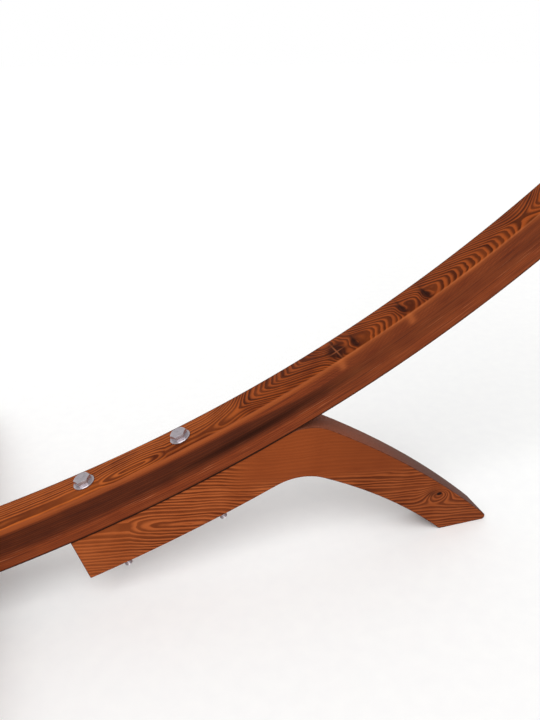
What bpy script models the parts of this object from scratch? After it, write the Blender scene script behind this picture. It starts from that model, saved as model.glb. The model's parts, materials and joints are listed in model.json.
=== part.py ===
"""Curved timber hammock stand: arc beam, feet, bolts, eye bolts and snap hooks.

Metres, +Z up. The origin is on the floor under the middle of the arc, +X runs along the
stand, and the arc, its boomerang feet and its eyes lie in the plane Y = 0.
"""

import math

import bmesh
import bpy
from mathutils import Matrix, Vector

# ---------------------------------------------------------------- driving dimensions
GAP = 0.0003                      # clearance between pieces that touch
DRILL_MARGIN = 0.020              # how far a cutter runs out of the timber
HOLLOW_GAP = 0.0006               # under a washer on the hollow upper face

ARC_RADIUS = 2.181                # hollow upper face of the beam
BEAM_HEIGHT = 0.0635
BEAM_WIDTH = 0.060
BEAM_EDGE = 0.003                 # rounding of the beam's long edges
FACE_ABOVE_FLOOR = 0.091          # upper face at the middle of the arc
TIP_ANGLE = 60.0                  # degrees from the vertical at each end of the arc
TIP_ROUND = 0.014                 # rounding of the beam's ends
STATION = 1.5                     # degrees between the beam's cross-sections
SAME_STATION = 0.01               # degrees; nearer than this counts as the same
LAP_ANGLE = 4.5                   # half length of the middle half-lap, degrees
LAP_BOLT_ANGLE = 2.1

FOOT_WIDTH = 0.056
FOOT_DEPTH = 0.072                # height of a foot where it lies under the beam
FOOT_START = 16.15                # degrees, square-cut inner end
FOOT_LEAVES_BEAM = 24.64          # degrees, where its upper side leaves the beam
FOOT_BEND_START = 23.48           # degrees, where its lower side starts to bend
SHOULDER_RADIUS = 0.078           # bend of its upper side
SHOULDER_TURN = 54.7
SHIN_TOP_RADIUS = 1.54            # upper side from the bend to the toe
CROTCH_RADIUS = 0.091             # bend of its lower side
CROTCH_TURN = 49.0
SHIN_UNDER_RADIUS = 0.845         # lower side from the bend to the floor
TOE_ROUND = 0.005
FOOT_EDGE = 0.002
FOOT_BOLT_ANGLES = (17.43, 21.24)

CROSS_X = 0.42                    # distance of each cross foot from the middle
CROSS_THICKNESS = 0.060
CROSS_SPAN = 1.20
CROSS_CROWN = 0.118               # top of its arch
CROSS_TOE_HEIGHT = 0.034
CROSS_CLEARANCE = 0.030           # under its arch
SOLE_LENGTH = 0.115
CROSS_TOE_ROUND = 0.010
CROSS_EDGE = 0.003
CROSS_SEAT = 0.028                # wood between the beam and the recessed nut
RECESS_RADIUS = 0.0175
RECESS_CUT = 0.030                # length of the cutter that opens a recess

SIDES = 12                        # around bolts, nuts and washers
BOLT_RADIUS = 0.006
HEAD_FLATS = 0.021
HEAD_HEIGHT = 0.0080
CHAMFER_START = 0.475             # of the size across flats, radius of a chamfered face
THREAD_CHAMFER = 0.17             # of the bolt radius, at the thread end
NUT_HEIGHT = 0.010
WASHER_RADIUS = 0.0152
WASHER_THICKNESS = 0.0025
FOOT_BOLT_END = 0.0255            # thread end below the timber
LAP_BOLT_END = 0.0165
CROSS_BOLT_END = 0.0165

EYE_ANGLE = 57.5
EYE_STANDOFF = 0.060              # ring centre above the beam's upper face
EYE_RING_RADIUS = 0.0185
EYE_WIRE = 0.005
EYE_BOLT_RADIUS = 0.005
EYE_NUT_FLATS = 0.017
EYE_NUT_HEIGHT = 0.008
EYE_WASHER_RADIUS = 0.012
EYE_WASHER_THICKNESS = 0.002
EYE_BOLT_END = 0.014

HOOK_LENGTH = 0.080
HOOK_WIRE = 0.004                 # radius of the hook's wire
HOOK_TOP_RADIUS = 0.011           # bends of the wire's centre line
HOOK_BOTTOM_RADIUS = 0.016
HOOK_PLAY = 0.0005                # between the hook's wire and the eye's ring
HINGE_CLEAR_ANGLE = 26.0          # the hook's wire stops this far round from the pin
GATE_PIN_RADIUS = 0.0012
TONGUE_THICKNESS = 0.0030
TONGUE_RADIUS = 0.0034
NECK_LENGTH = 0.0070              # from the pin into the hook's wire
NECK_FIT = 0.98                   # of the tongue's thickness
NECK_WIDTH = 0.9                  # of the tongue's diameter
SLOT_WIDTH = 0.0036
SLOT_FLOOR = 0.0042               # below the gate's pin
LATCH_LAP = 0.004                 # the nose covers this much of the gate's outer side
LATCH_GAP = 0.0004
HOOK_CUT = 0.010                  # half size of the cutters round the hook's wire
BORE_OVERRUN = 0.001              # of the spring's bore at both ends
SPRING_BORE = 0.0022
SPRING_RADIUS = 0.0013
SPRING_WIRE = 0.0004
SPRING_TURNS = 5
SPRING_LENGTH = 0.011

ARC_CENTRE = Vector((0.0, 0.0, FACE_ABOVE_FLOOR + ARC_RADIUS))
UNDERSIDE = ARC_RADIUS + BEAM_HEIGHT
LAP_RADIUS = ARC_RADIUS + BEAM_HEIGHT / 2.0

WOOD = ((0.28, 0.085, 0.025, 1.0), 0.45, 0.0)
FOOT_WOOD = ((0.33, 0.105, 0.032, 1.0), 0.5, 0.0)
ZINC = ((0.52, 0.52, 0.55, 1.0), 0.35, 1.0)
STEEL = ((0.62, 0.62, 0.64, 1.0), 0.25, 1.0)


# ---------------------------------------------------------------- objects and modifiers
def clear_scene():
    for thing in list(bpy.data.objects):
        bpy.data.objects.remove(thing, do_unlink=True)


def node(name, mesh, look):
    """Link a mesh as a named object with a material of its own."""
    colour, roughness, metallic = look
    finish = bpy.data.materials.new(name + "_finish")
    finish.use_nodes = True
    finish.diffuse_color = colour
    shader = finish.node_tree.nodes["Principled BSDF"]
    shader.inputs["Base Color"].default_value = colour
    shader.inputs["Roughness"].default_value = roughness
    shader.inputs["Metallic"].default_value = metallic
    mesh.materials.append(finish)
    mesh.shade_smooth()
    mesh.set_sharp_from_angle(angle=math.radians(35))
    made = bpy.data.objects.new(name, mesh)
    bpy.context.collection.objects.link(made)
    return made


def tool(name, mesh):
    """Link a mesh as a guide for a Boolean; it is no piece of the stand."""
    made = bpy.data.objects.new(name, mesh)
    bpy.context.collection.objects.link(made)
    made.display_type = 'WIRE'
    made.hide_render = True
    return made


def combine(target, guide, operation='DIFFERENCE'):
    step = target.modifiers.new(guide.name, 'BOOLEAN')
    step.operation = operation
    step.solver = 'EXACT'
    step.object = guide


def rounded_edges(target, width):
    step = target.modifiers.new("edges", 'BEVEL')
    step.width = width
    step.segments = 1
    step.limit_method = 'ANGLE'
    step.angle_limit = math.radians(40)


def place_at(thing, point):
    """Move an object's origin to a point without moving its shape."""
    thing.data.transform(Matrix.Translation(-point))
    thing.location = point


# ---------------------------------------------------------------- meshes
def mesh_from(name, points, faces):
    mesh = bpy.data.meshes.new(name)
    mesh.from_pydata(points, [], faces)
    work = bmesh.new()
    work.from_mesh(mesh)
    bmesh.ops.recalc_face_normals(work, faces=work.faces)
    work.to_mesh(mesh)
    work.free()
    return mesh


def loft(name, rings, closed=False):
    """Skin through equal rings; capped at both ends, or closed round to the first ring."""
    count = len(rings[0])
    points = [point for ring in rings for point in ring]
    rows = len(rings) if closed else len(rings) - 1
    faces = []
    for row in range(rows):
        start = row * count
        after = (row + 1) % len(rings) * count
        for step in range(count):
            beside = (step + 1) % count
            faces.append([start + step, start + beside, after + beside, after + step])
    if not closed:
        faces.append(list(range(count)))
        faces.append(list(range(len(points) - count, len(points))))
    return mesh_from(name, points, faces)


def round_ring(frame, radius, height, sides=SIDES):
    ring = []
    for step in range(sides):
        angle = 2.0 * math.pi * step / sides
        ring.append(frame @ Vector((radius * math.cos(angle), radius * math.sin(angle), height)))
    return ring


def hex_ring(frame, flats, height, chamfer=0.0):
    """Hexagon about the frame's Z; chamfer +1 or -1 moves its corners up or down Z."""
    ring = []
    for step in range(SIDES):
        angle = 2.0 * math.pi * step / SIDES
        from_flat = angle % (math.pi / 3.0) - math.pi / 6.0
        reach = flats / 2.0 / math.cos(from_flat)
        drop = chamfer * (reach - CHAMFER_START * flats) * math.tan(math.radians(30))
        ring.append(frame @ Vector((reach * math.cos(angle), reach * math.sin(angle),
                                    height + drop)))
    return ring


def cylinder(name, frame, radius, low, high, sides=SIDES):
    return loft(name, [round_ring(frame, radius, low, sides),
                       round_ring(frame, radius, high, sides)])


def box(name, frame, low, high):
    rings = []
    for height in (low[2], high[2]):
        rings.append([frame @ Vector((low[0], low[1], height)),
                      frame @ Vector((high[0], low[1], height)),
                      frame @ Vector((high[0], high[1], height)),
                      frame @ Vector((low[0], high[1], height))])
    return loft(name, rings)


# ---------------------------------------------------------------- the arc's own geometry
def polar(radius, degrees, across=0.0):
    """Point at a radius and an angle of the arc, measured from straight down."""
    angle = math.radians(degrees)
    return ARC_CENTRE + Vector((radius * math.sin(angle), across, -radius * math.cos(angle)))


def radial_frame(radius, degrees):
    """Frame on the arc: Z points out through the beam, Y across it."""
    turn = Matrix.Rotation(math.radians(180.0 - degrees), 4, 'Y')
    return Matrix.Translation(polar(radius, degrees)) @ turn


def stations(first, last):
    """Angles from first to last with every whole station between them."""
    angles = [first]
    step = math.floor(first / STATION) + 1
    while step * STATION < last - SAME_STATION:
        if step * STATION > first + SAME_STATION:
            angles.append(step * STATION)
        step += 1
    angles.append(last)
    return angles


def gap_angle(radius):
    return math.degrees(GAP / radius)


# ---------------------------------------------------------------- main beam
def beam_section(degrees, shrink=0.0, grow=0.0):
    """Rectangle with blunted corners across the beam."""
    side = BEAM_WIDTH / 2.0 + grow - BEAM_EDGE
    inner = ARC_RADIUS + shrink - grow + BEAM_EDGE
    outer = UNDERSIDE - shrink + grow - BEAM_EDGE
    ring = []
    for across, radius, first in ((-side, inner, 180), (side, inner, 270),
                                  (side, outer, 0), (-side, outer, 90)):
        for turn in (0, 90):
            angle = math.radians(first + turn)
            ring.append(polar(radius + BEAM_EDGE * math.sin(angle), degrees,
                              across + BEAM_EDGE * math.cos(angle)))
    return ring


def tip_stations():
    """Angle and radial trim of the sections that round off the right-hand tip."""
    found = []
    for turn in (90, 60, 30, 0):
        angle = math.radians(turn)
        from_end = TIP_ROUND * (1.0 - math.cos(angle))
        trim = TIP_ROUND * (1.0 - math.sin(angle))
        found.append((TIP_ANGLE - math.degrees(from_end / LAP_RADIUS), trim))
    return found


def half_beam_mesh(name, side):
    """One half with its full section over the whole lap; side is +1 right, -1 left."""
    tip = tip_stations()
    rings = [(angle, 0.0) for angle in stations(-LAP_ANGLE, tip[0][0])][:-1] + tip
    return loft(name, [beam_section(side * angle, trim) for angle, trim in rings])


def arc_block(name, low, high, angles):
    """Cutter between two radii, wider than the beam."""
    half = BEAM_WIDTH
    rings = []
    for angle in angles:
        rings.append([polar(low, angle, -half), polar(low, angle, half),
                      polar(high, angle, half), polar(high, angle, -half)])
    return loft(name, rings)


def make_beams():
    shoulder = LAP_ANGLE + gap_angle(ARC_RADIUS)
    right = node("arc_beam_right", half_beam_mesh("arc_beam_right", 1), WOOD)
    lower = arc_block("lap_lower", LAP_RADIUS - GAP / 2.0, UNDERSIDE + DRILL_MARGIN,
                      stations(-LAP_ANGLE - STATION, shoulder))
    combine(right, tool("lap_lower", lower))
    left = node("arc_beam_left", half_beam_mesh("arc_beam_left", -1), WOOD)
    upper = arc_block("lap_upper", ARC_RADIUS - DRILL_MARGIN, LAP_RADIUS + GAP / 2.0,
                      stations(-shoulder, LAP_ANGLE + STATION))
    combine(left, tool("lap_upper", upper))
    return {1: right, -1: left}


def bore(name, targets, frame, radius, low, high):
    """Drill the same hole through one or more pieces."""
    drill = tool(name, cylinder(name, frame, radius, low, high))
    for target in targets:
        combine(target, drill)


# ---------------------------------------------------------------- boomerang feet
def heading(degrees):
    return Vector((math.cos(math.radians(degrees)), 0.0, math.sin(math.radians(degrees))))


def right_of(degrees):
    return heading(degrees - 90.0)


def bend(points, direction, radius, turn, steps):
    """Add a right-hand bend to an outline in the plane Y = 0; returns the new heading."""
    centre = points[-1] + radius * right_of(direction)
    for step in range(1, steps + 1):
        points.append(centre - radius * right_of(direction - turn * step / steps))
    return direction - turn


def turn_to_floor(point, direction, radius):
    """Right-hand turn after which a bend from a point reaches Z = 0."""
    cosine = (radius * math.cos(math.radians(direction)) - point.z) / radius
    return direction + math.degrees(math.acos(cosine))


def rounded_corner(before, corner, after, radius, steps=4):
    """Points of the arc that replaces a corner."""
    into = (before - corner).normalized()
    out = (after - corner).normalized()
    half = into.angle(out) / 2.0
    reach = radius / math.tan(half)
    middle = corner + (into + out).normalized() * radius / math.sin(half)
    first = (corner + into * reach - middle).normalized()
    last = (corner + out * reach - middle).normalized()
    return [middle + radius * first.slerp(last, step / steps) for step in range(steps + 1)]


def foot_outline():
    """Right-hand boomerang foot: along the beam, over the shoulder, to the toe and back."""
    top = [polar(UNDERSIDE + GAP, angle) for angle in stations(FOOT_START, FOOT_LEAVES_BEAM)]
    along = bend(top, FOOT_LEAVES_BEAM, SHOULDER_RADIUS, SHOULDER_TURN, 6)
    bend(top, along, SHIN_TOP_RADIUS, turn_to_floor(top[-1], along, SHIN_TOP_RADIUS), 5)
    under = [polar(UNDERSIDE + FOOT_DEPTH, angle)
             for angle in stations(FOOT_START, FOOT_BEND_START)]
    along = bend(under, FOOT_BEND_START, CROTCH_RADIUS, CROTCH_TURN, 5)
    bend(under, along, SHIN_UNDER_RADIUS, turn_to_floor(under[-1], along, SHIN_UNDER_RADIUS), 6)
    toe = rounded_corner(top[-2], top[-1], under[-1], TOE_ROUND)
    return top[:-1] + toe + under[::-1]


def plate(name, outline, across, thickness):
    """Board of an outline, thick along the unit vector across, centred on the outline."""
    half = across * thickness / 2.0
    return loft(name, [[point - half for point in outline], [point + half for point in outline]])


def make_boomerang_feet(beams):
    outline = foot_outline()
    for side, label in ((1, "right"), (-1, "left")):
        mirrored = [Vector((side * point.x, point.y, point.z)) for point in outline]
        name = "boomerang_foot_" + label
        mesh = plate(name, mirrored, Vector((0, 1, 0)), FOOT_WIDTH)
        foot = node(name, mesh, FOOT_WOOD)
        rounded_edges(foot, FOOT_EDGE)
        depth = BEAM_HEIGHT + FOOT_DEPTH
        for index, angle in enumerate(FOOT_BOLT_ANGLES, 1):
            frame = radial_frame(ARC_RADIUS, side * angle)
            suffix = "_%s_%d" % (label, index)
            bore("foot_bore" + suffix, (beams[side], foot), frame, BOLT_RADIUS + GAP,
                 -DRILL_MARGIN, depth + DRILL_MARGIN)
            bolt_set("foot", suffix, frame, depth, FOOT_BOLT_END)


# ---------------------------------------------------------------- cross feet
def arch(half_span, low, high, steps):
    """Points of a shallow arch in the plane X = 0, from -half_span to +half_span."""
    rise = high - low
    radius = (half_span ** 2 + rise ** 2) / (2.0 * rise)
    reach = math.asin(half_span / radius)
    points = []
    for step in range(steps + 1):
        angle = reach * (2.0 * step / steps - 1.0)
        points.append(Vector((0.0, radius * math.sin(angle),
                              high - radius + radius * math.cos(angle))))
    return points


def cross_outline():
    half = CROSS_SPAN / 2.0
    top = arch(half, CROSS_TOE_HEIGHT, CROSS_CROWN, 14)
    under = arch(half - SOLE_LENGTH, 0.0, CROSS_CLEARANCE, 12)
    toe = Vector((0.0, half, 0.0))
    far_toe = Vector((0.0, -half, 0.0))
    outline = rounded_corner(far_toe, top[0], top[1], CROSS_TOE_ROUND, 3)
    outline += top[1:-1]
    outline += rounded_corner(top[-2], top[-1], toe, CROSS_TOE_ROUND, 3)
    outline += rounded_corner(top[-1], toe, under[-1], CROSS_TOE_ROUND, 3)
    outline += under[::-1]
    outline += rounded_corner(under[0], far_toe, top[0], CROSS_TOE_ROUND, 3)
    return outline


def make_cross_feet(beams):
    outline = cross_outline()
    seat_angle = math.degrees(math.asin(CROSS_X / UNDERSIDE))
    depth = BEAM_HEIGHT + CROSS_SEAT
    for side, label in ((1, "right"), (-1, "left")):
        shifted = [point + Vector((side * CROSS_X, 0, 0)) for point in outline]
        name = "cross_foot_" + label
        foot = node(name, plate(name, shifted, Vector((1, 0, 0)), CROSS_THICKNESS), FOOT_WOOD)
        rounded_edges(foot, CROSS_EDGE)
        angles = [side * step * STATION for step in range(4, 11)]
        notch = loft("notch_" + label, [beam_section(angle, grow=GAP) for angle in angles])
        combine(foot, tool("notch_" + label, notch))
        frame = radial_frame(ARC_RADIUS, side * seat_angle)
        bore("cross_bore_" + label, (beams[side], foot), frame, BOLT_RADIUS + GAP,
             -DRILL_MARGIN, depth + DRILL_MARGIN)
        bore("cross_recess_" + label, (foot,), frame, RECESS_RADIUS, depth, depth + RECESS_CUT)
        bolt_set("cross", "_" + label, frame, depth, CROSS_BOLT_END)


# ---------------------------------------------------------------- bolts, washers and nuts
def bolt_mesh(name, frame, end):
    """Hex bolt into the frame's Z; its head sits on a washer above Z = 0."""
    bearing = -HOLLOW_GAP - WASHER_THICKNESS - GAP
    top = bearing - HEAD_HEIGHT
    chamfer = BOLT_RADIUS * THREAD_CHAMFER
    rings = [round_ring(frame, CHAMFER_START * HEAD_FLATS, top),
             hex_ring(frame, HEAD_FLATS, top, 1.0),
             hex_ring(frame, HEAD_FLATS, bearing),
             round_ring(frame, BOLT_RADIUS, bearing),
             round_ring(frame, BOLT_RADIUS, end - chamfer),
             round_ring(frame, BOLT_RADIUS - chamfer, end)]
    return loft(name, rings)


def nut_mesh(name, frame, flats, hole, low, height):
    high = low + height
    face = CHAMFER_START * flats
    rings = [round_ring(frame, face, low), hex_ring(frame, flats, low, 1.0),
             hex_ring(frame, flats, high, -1.0), round_ring(frame, face, high),
             round_ring(frame, hole, high), round_ring(frame, hole, low)]
    return loft(name, rings, closed=True)


def washer_mesh(name, frame, radius, hole, low, thickness):
    high = low + thickness
    rings = [round_ring(frame, radius, low), round_ring(frame, radius, high),
             round_ring(frame, hole, high), round_ring(frame, hole, low)]
    return loft(name, rings, closed=True)


def bolt_set(kind, suffix, frame, depth, end):
    """Bolt, two washers and a nut through timber of a depth along the frame's Z."""
    hole = BOLT_RADIUS + GAP
    name = kind + "_bolt" + suffix
    node(name, bolt_mesh(name, frame, depth + end), ZINC)
    for place, low in (("upper", -HOLLOW_GAP - WASHER_THICKNESS), ("lower", depth + GAP)):
        name = "%s_washer_%s%s" % (kind, place, suffix)
        node(name, washer_mesh(name, frame, WASHER_RADIUS, hole, low, WASHER_THICKNESS), ZINC)
    name = kind + "_nut" + suffix
    low = depth + 2.0 * GAP + WASHER_THICKNESS
    node(name, nut_mesh(name, frame, HEAD_FLATS, hole, low, NUT_HEIGHT), ZINC)


def make_lap_bolts(beams):
    for index, angle in enumerate((-LAP_BOLT_ANGLE, LAP_BOLT_ANGLE), 1):
        frame = radial_frame(ARC_RADIUS, angle)
        bore("lap_bore_%d" % index, beams.values(), frame, BOLT_RADIUS + GAP,
             -DRILL_MARGIN, BEAM_HEIGHT + DRILL_MARGIN)
        bolt_set("lap", "_%d" % index, frame, BEAM_HEIGHT, LAP_BOLT_END)


# ---------------------------------------------------------------- eye bolts
def eye_centre(side):
    return polar(ARC_RADIUS - EYE_STANDOFF, side * EYE_ANGLE)


def ring_mesh(name, frame, radius, wire, segments=20, sides=10):
    """Ring in the frame's XZ plane about the frame's origin."""
    rings = []
    for segment in range(segments):
        angle = 2.0 * math.pi * segment / segments
        outwards = Vector((math.cos(angle), 0.0, math.sin(angle)))
        ring = []
        for step in range(sides):
            around = 2.0 * math.pi * step / sides
            spot = outwards * (radius + wire * math.cos(around))
            spot.y = wire * math.sin(around)
            ring.append(frame @ spot)
        rings.append(ring)
    return loft(name, rings, closed=True)


def make_eye_bolts(beams):
    hole = EYE_BOLT_RADIUS + GAP
    for side, label in ((1, "right"), (-1, "left")):
        frame = radial_frame(ARC_RADIUS, side * EYE_ANGLE)
        ring_frame = frame @ Matrix.Translation((0, 0, -EYE_STANDOFF))
        bore("eye_bore_" + label, (beams[side],), frame, hole, -DRILL_MARGIN,
             BEAM_HEIGHT + DRILL_MARGIN)

        name = "eye_bolt_" + label
        eye = node(name, ring_mesh(name, ring_frame, EYE_RING_RADIUS, EYE_WIRE), STEEL)
        end = BEAM_HEIGHT + EYE_BOLT_END
        chamfer = EYE_BOLT_RADIUS * THREAD_CHAMFER
        start = EYE_RING_RADIUS - EYE_STANDOFF
        shank = loft("eye_shank_" + label, [round_ring(frame, EYE_BOLT_RADIUS, start),
                                            round_ring(frame, EYE_BOLT_RADIUS, end - chamfer),
                                            round_ring(frame, EYE_BOLT_RADIUS - chamfer, end)])
        combine(eye, tool("eye_shank_" + label, shank), 'UNION')

        thickness = EYE_WASHER_THICKNESS
        seats = (("upper", -HOLLOW_GAP - thickness, -HOLLOW_GAP - thickness - GAP - EYE_NUT_HEIGHT),
                 ("lower", BEAM_HEIGHT + GAP, BEAM_HEIGHT + 2.0 * GAP + thickness))
        for place, washer_low, nut_low in seats:
            name = "eye_washer_%s_%s" % (place, label)
            node(name, washer_mesh(name, frame, EYE_WASHER_RADIUS, hole, washer_low, thickness),
                 ZINC)
            name = "eye_nut_%s_%s" % (place, label)
            node(name, nut_mesh(name, frame, EYE_NUT_FLATS, hole, nut_low, EYE_NUT_HEIGHT), ZINC)


# ---------------------------------------------------------------- snap hooks
# A hook hangs in the plane of Y and Z below its eye. Its own frame has its origin at the
# eye's centre; the gate's line runs down the -Y side from the pin to the nose.
HOOK_TOP = Vector((0.0, 0.0, -(EYE_RING_RADIUS - EYE_WIRE - HOOK_WIRE - HOOK_PLAY)
                   - HOOK_TOP_RADIUS))
BEND_DISTANCE = HOOK_LENGTH - 2.0 * HOOK_WIRE - HOOK_TOP_RADIUS - HOOK_BOTTOM_RADIUS
HOOK_BOTTOM = HOOK_TOP - Vector((0.0, 0.0, BEND_DISTANCE))
SPLAY = math.asin((HOOK_BOTTOM_RADIUS - HOOK_TOP_RADIUS) / BEND_DISTANCE)
GATE_OUTWARDS = Vector((0.0, -math.cos(SPLAY), math.sin(SPLAY)))
PIN_POINT = HOOK_TOP + HOOK_TOP_RADIUS * GATE_OUTWARDS
NOSE_POINT = HOOK_BOTTOM + HOOK_BOTTOM_RADIUS * GATE_OUTWARDS
GATE_SPAN = (NOSE_POINT - PIN_POINT).length


def gate_frame(centre):
    """Frame at the pin: Z runs down the gate to the nose, Y outwards, X along the pin."""
    down = (NOSE_POINT - PIN_POINT).normalized()
    pin = GATE_OUTWARDS.cross(down)
    turn = Matrix((pin, GATE_OUTWARDS, down)).transposed().to_4x4()
    return Matrix.Translation(centre + PIN_POINT) @ turn


def hook_path():
    """Centre line and outward directions of the wire, from the hinge round to the latch."""
    gate = math.pi - SPLAY
    first = gate - math.radians(HINGE_CLEAR_ANGLE)
    last = gate - 2.0 * math.pi
    bends = ((HOOK_TOP, HOOK_TOP_RADIUS, first, SPLAY, 8),
             (HOOK_BOTTOM, HOOK_BOTTOM_RADIUS, SPLAY, last, 10))
    path = []
    for centre, radius, start, end, steps in bends:
        for step in range(steps + 1):
            angle = start + (end - start) * step / steps
            away = Vector((0.0, math.cos(angle), math.sin(angle)))
            path.append((centre + radius * away, away))
    down = (NOSE_POINT - PIN_POINT).normalized()
    path.append((NOSE_POINT - down * LATCH_LAP, GATE_OUTWARDS))
    return path


def wire_mesh(name, centre, path, radius, sides=10):
    """Round wire along a path in a plane of constant X."""
    rings = []
    for point, away in path:
        ring = []
        for step in range(sides):
            around = 2.0 * math.pi * (step + 0.5) / sides
            ring.append(centre + point + away * radius * math.cos(around)
                        + Vector((radius * math.sin(around), 0.0, 0.0)))
        rings.append(ring)
    return loft(name, rings)


def make_hook_body(label, centre):
    name = "hook_body_" + label
    body = node(name, wire_mesh(name, centre, hook_path(), HOOK_WIRE), STEEL)
    frame = gate_frame(centre)
    inner_lap = box("nose_cut_" + label, frame, (-HOOK_CUT, -HOOK_CUT, GATE_SPAN - HOOK_CUT),
                    (HOOK_CUT, LATCH_GAP / 2.0, GATE_SPAN))
    combine(body, tool("nose_cut_" + label, inner_lap))
    half = TONGUE_THICKNESS / 2.0
    tongue_frame = frame @ Matrix.Rotation(math.radians(90), 4, 'Y')
    tongue = cylinder("tongue_" + label, tongue_frame, TONGUE_RADIUS, -half, half)
    combine(body, tool("tongue_" + label, tongue), 'UNION')
    lean = Matrix.Rotation(math.radians(-HINGE_CLEAR_ANGLE / 2.0), 4, 'X')
    across = half * NECK_FIT
    reach = TONGUE_RADIUS * NECK_WIDTH
    neck = box("tongue_neck_" + label, frame @ lean, (-across, -reach, -NECK_LENGTH),
               (across, reach, 0.0))
    combine(body, tool("tongue_neck_" + label, neck), 'UNION')
    bore("tongue_bore_" + label, (body,), tongue_frame, GATE_PIN_RADIUS + GAP,
         -HOOK_CUT, HOOK_CUT)
    place_at(body, centre)


def make_gate(label, centre):
    frame = gate_frame(centre)
    name = "hook_gate_" + label
    rings = []
    for turn in (80, 55, 30, 0):
        angle = math.radians(turn)
        rings.append(round_ring(frame, HOOK_WIRE * math.cos(angle), -HOOK_WIRE * math.sin(angle)))
    end = GATE_SPAN - LATCH_GAP
    rings.append(round_ring(frame, HOOK_WIRE, end))
    gate = node(name, loft(name, rings), STEEL)
    slot = box("gate_slot_" + label, frame, (-SLOT_WIDTH / 2.0, -HOOK_CUT, -HOOK_CUT),
               (SLOT_WIDTH / 2.0, HOOK_CUT, SLOT_FLOOR))
    combine(gate, tool("gate_slot_" + label, slot))
    lap = box("gate_cut_" + label, frame,
              (-HOOK_CUT, -LATCH_GAP / 2.0, GATE_SPAN - LATCH_LAP - LATCH_GAP),
              (HOOK_CUT, HOOK_CUT, GATE_SPAN + HOOK_CUT))
    combine(gate, tool("gate_cut_" + label, lap))
    bore("spring_bore_" + label, (gate,), frame, SPRING_BORE, SLOT_FLOOR - BORE_OVERRUN,
         SLOT_FLOOR + SPRING_LENGTH + BORE_OVERRUN)
    across = frame @ Matrix.Rotation(math.radians(90), 4, 'Y')
    bore("gate_bore_" + label, (gate,), across, GATE_PIN_RADIUS + GAP, -HOOK_CUT, HOOK_CUT)
    place_at(gate, centre + PIN_POINT)

    name = "gate_pin_" + label
    half = HOOK_WIRE - GAP
    pin = node(name, cylinder(name, across, GATE_PIN_RADIUS, -half, half, 10), ZINC)
    place_at(pin, centre)


def make_gate_spring(label, centre):
    """Coil in the gate's bore, between its floor and the tongue."""
    frame = gate_frame(centre)
    name = "gate_spring_" + label
    points_per_turn = 10
    sides = 5
    total = SPRING_TURNS * points_per_turn
    rings = []
    for step in range(total + 1):
        angle = 2.0 * math.pi * step / points_per_turn
        away = Vector((math.cos(angle), math.sin(angle), 0.0))
        height = SLOT_FLOOR + SPRING_WIRE + (SPRING_LENGTH - 2.0 * SPRING_WIRE) * step / total
        middle = away * SPRING_RADIUS + Vector((0.0, 0.0, height))
        ring = []
        for corner in range(sides):
            around = 2.0 * math.pi * corner / sides
            ring.append(frame @ (middle + away * SPRING_WIRE * math.cos(around)
                                 + Vector((0.0, 0.0, SPRING_WIRE * math.sin(around)))))
        rings.append(ring)
    spring = node(name, loft(name, rings), STEEL)
    place_at(spring, centre + PIN_POINT)


def make_snap_hooks():
    for side, label in ((1, "right"), (-1, "left")):
        centre = eye_centre(side)
        make_hook_body(label, centre)
        make_gate(label, centre)
        make_gate_spring(label, centre)


clear_scene()
halves = make_beams()
make_lap_bolts(halves)
make_boomerang_feet(halves)
make_cross_feet(halves)
make_eye_bolts(halves)
make_snap_hooks()
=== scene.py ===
"""Looks of the curved timber hammock stand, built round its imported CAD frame.

Metres, in the CAD's own frame: +X along the stand, +Z up, the arc in the plane Y = 0.
"""

import json
import math

import bmesh
import bpy
from mathutils import Matrix, Vector

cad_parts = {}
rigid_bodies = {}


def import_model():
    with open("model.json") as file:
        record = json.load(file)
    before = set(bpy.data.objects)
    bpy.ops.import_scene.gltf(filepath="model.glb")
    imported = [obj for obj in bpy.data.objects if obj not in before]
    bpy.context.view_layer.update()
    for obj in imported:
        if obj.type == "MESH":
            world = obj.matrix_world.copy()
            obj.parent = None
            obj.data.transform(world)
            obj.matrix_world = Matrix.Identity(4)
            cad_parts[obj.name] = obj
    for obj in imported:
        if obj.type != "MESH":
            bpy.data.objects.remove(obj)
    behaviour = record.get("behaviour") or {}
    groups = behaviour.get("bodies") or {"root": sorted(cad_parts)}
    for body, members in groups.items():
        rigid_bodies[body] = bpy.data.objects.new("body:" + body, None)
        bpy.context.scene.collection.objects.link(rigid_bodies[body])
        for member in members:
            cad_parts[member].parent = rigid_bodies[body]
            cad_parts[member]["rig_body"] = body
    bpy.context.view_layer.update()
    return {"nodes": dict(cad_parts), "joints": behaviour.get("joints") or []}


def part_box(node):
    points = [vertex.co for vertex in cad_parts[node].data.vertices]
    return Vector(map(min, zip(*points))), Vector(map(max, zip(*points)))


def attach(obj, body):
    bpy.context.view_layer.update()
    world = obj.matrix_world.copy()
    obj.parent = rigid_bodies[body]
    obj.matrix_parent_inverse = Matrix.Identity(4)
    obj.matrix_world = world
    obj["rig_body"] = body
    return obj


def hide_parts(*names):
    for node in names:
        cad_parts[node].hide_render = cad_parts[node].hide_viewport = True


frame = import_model()

# ---------------------------------------------------------------- sizes
# The arc's radius and section, the angles and the outlines repeat the CAD's own; places
# and widths are read from the frame.
beam_low, beam_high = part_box("arc_beam_left")
foot_low, foot_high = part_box("boomerang_foot_right")
cross_low, cross_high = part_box("cross_foot_right")

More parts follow.
